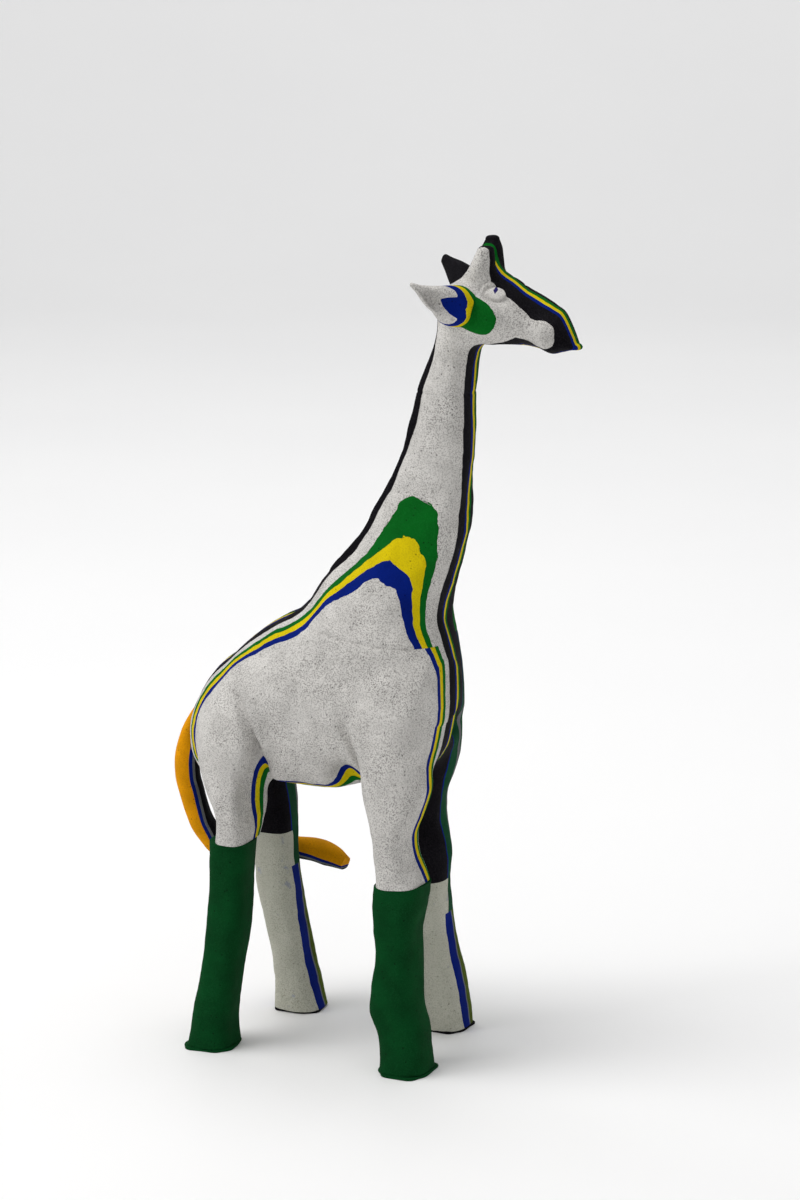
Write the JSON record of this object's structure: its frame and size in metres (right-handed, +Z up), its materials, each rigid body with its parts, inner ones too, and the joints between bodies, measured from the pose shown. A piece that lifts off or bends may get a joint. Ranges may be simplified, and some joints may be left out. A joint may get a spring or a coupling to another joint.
{
  "type": "carved giraffe statue",
  "caption": "Free-standing giraffe carved from a glued stack of coloured foam sheets whose cut edges show as contour bands.",
  "frame": {"origin": "centre of the statue's box, on the floor plane under the feet", "axes": "+X forward, the way the head points; +Y to the giraffe's left; +Z up. The sheets lie square to Y."},
  "size_m": [0.173, 0.0822, 0.328],
  "materials": {
    "white_foam": "matt closed-cell foam, sanded",
    "black_foam": "matt closed-cell foam, sanded",
    "blue_foam": "matt closed-cell foam, sanded",
    "yellow_foam": "matt closed-cell foam, sanded",
    "green_foam": "matt closed-cell foam, sanded",
    "sock_green_foam": "matt closed-cell foam, sanded",
    "dark_green_foam": "matt closed-cell foam, sanded",
    "olive_foam": "matt closed-cell foam, sanded",
    "grey_foam": "matt closed-cell foam, sanded",
    "amber_foam": "matt closed-cell foam, sanded",
    "eye": "matt foam with an inked pupil"
  },
  "bodies": {
    "root": {"head_right_white": "white_foam", "ear_root_green": "green_foam", "ear_root_yellow": "yellow_foam", "ear_root_blue": "blue_foam", "right_ear": "white_foam", "head_black_core": "black_foam", "head_blue_stripe": "blue_foam", "head_yellow_stripe": "yellow_foam", "head_green_stripe": "green_foam", "head_left_black": "black_foam", "left_ear": "black_foam", "right_eye": "eye", "left_eye": "eye", "neck_right_white": "white_foam", "neck_black_core": "black_foam", "neck_blue_stripe": "blue_foam", "neck_yellow_stripe": "yellow_foam", "neck_green_stripe": "green_foam", "neck_left_black": "black_foam", "neck_right_green": "green_foam", "neck_right_yellow": "yellow_foam", "neck_right_blue": "blue_foam", "shoulder_right_white": "white_foam", "shoulder_left_green": "green_foam", "shoulder_left_grey": "grey_foam", "shoulder_left_dark_green": "dark_green_foam", "body_right_white": "white_foam", "body_right_blue": "blue_foam", "body_right_yellow": "yellow_foam", "body_right_green": "green_foam", "body_inner_white": "white_foam", "body_black_core": "black_foam", "body_blue_stripe": "blue_foam", "body_yellow_stripe": "yellow_foam", "body_green_stripe": "green_foam", "body_left_black": "black_foam", "body_left_blue": "blue_foam", "body_left_green": "dark_green_foam", "body_left_grey": "grey_foam", "body_left_dark_green": "dark_green_foam", "right_hind_lower_leg": "sock_green_foam", "right_front_lower_leg": "sock_green_foam", "left_hind_leg_white": "white_foam", "left_hind_leg_blue": "blue_foam", "left_hind_leg_grey": "grey_foam", "left_hind_leg_olive": "olive_foam", "left_front_leg_white": "white_foam", "left_front_leg_blue": "blue_foam", "left_front_leg_grey": "grey_foam", "left_front_leg_olive": "olive_foam", "tail_yellow": "amber_foam", "tail_blue": "blue_foam", "tail_grey": "grey_foam", "tail_black": "black_foam", "right_hind_pad": "sock_green_foam", "right_front_pad": "sock_green_foam", "left_hind_pad": "black_foam", "left_front_pad": "black_foam"}
  },
  "joints": []
}
